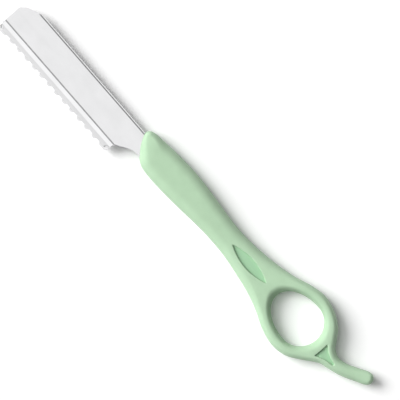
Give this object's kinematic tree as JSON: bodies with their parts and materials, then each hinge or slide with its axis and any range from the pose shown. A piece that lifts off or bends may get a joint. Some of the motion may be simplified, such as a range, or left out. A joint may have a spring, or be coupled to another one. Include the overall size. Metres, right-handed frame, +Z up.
{
  "type": "hair thinning razor",
  "caption": "Styling razor for thinning hair: steel head with a sliding comb guard over a single-edged blade, on a soft-touch handle with finger ring and curved finger rest.",
  "frame": {"origin": "middle of the bounding box, on the surface that the tool lies on", "axes": "+X from the tip of the head to the tail, +Y from the teeth to the spine, +Z up, across the thickness of the tool, which lies on its side"},
  "size_m": [0.22, 0.031, 0.0095],
  "materials": {
    "polished_steel": "polished stainless sheet",
    "guard_steel": "polished stainless sheet",
    "blade_steel": "ground blade steel",
    "tang_steel": "blanked stainless bar",
    "hard_core": "moulded, satin",
    "soft_touch_skin": "soft-touch, matt"
  },
  "bodies": {
    "handle": {"soft_grip": "soft_touch_skin", "handle_core": "hard_core", "head_shell": "polished_steel", "spine_tang": "tang_steel", "front_tang_rivet": "tang_steel", "rear_tang_rivet": "tang_steel"},
    "guard": {"comb_guard": "guard_steel"},
    "blade": {"razor_blade": "blade_steel"}
  },
  "joints": [
    {"name": "guard_slide", "type": "slide", "parent": "handle", "child": "guard", "axis": [-1, 0, 0], "range_m": [0, 0.072]},
    {"name": "blade_slide", "type": "slide", "parent": "handle", "child": "blade", "axis": [-1, 0, 0], "range_m": [0, 0.068]}
  ]
}
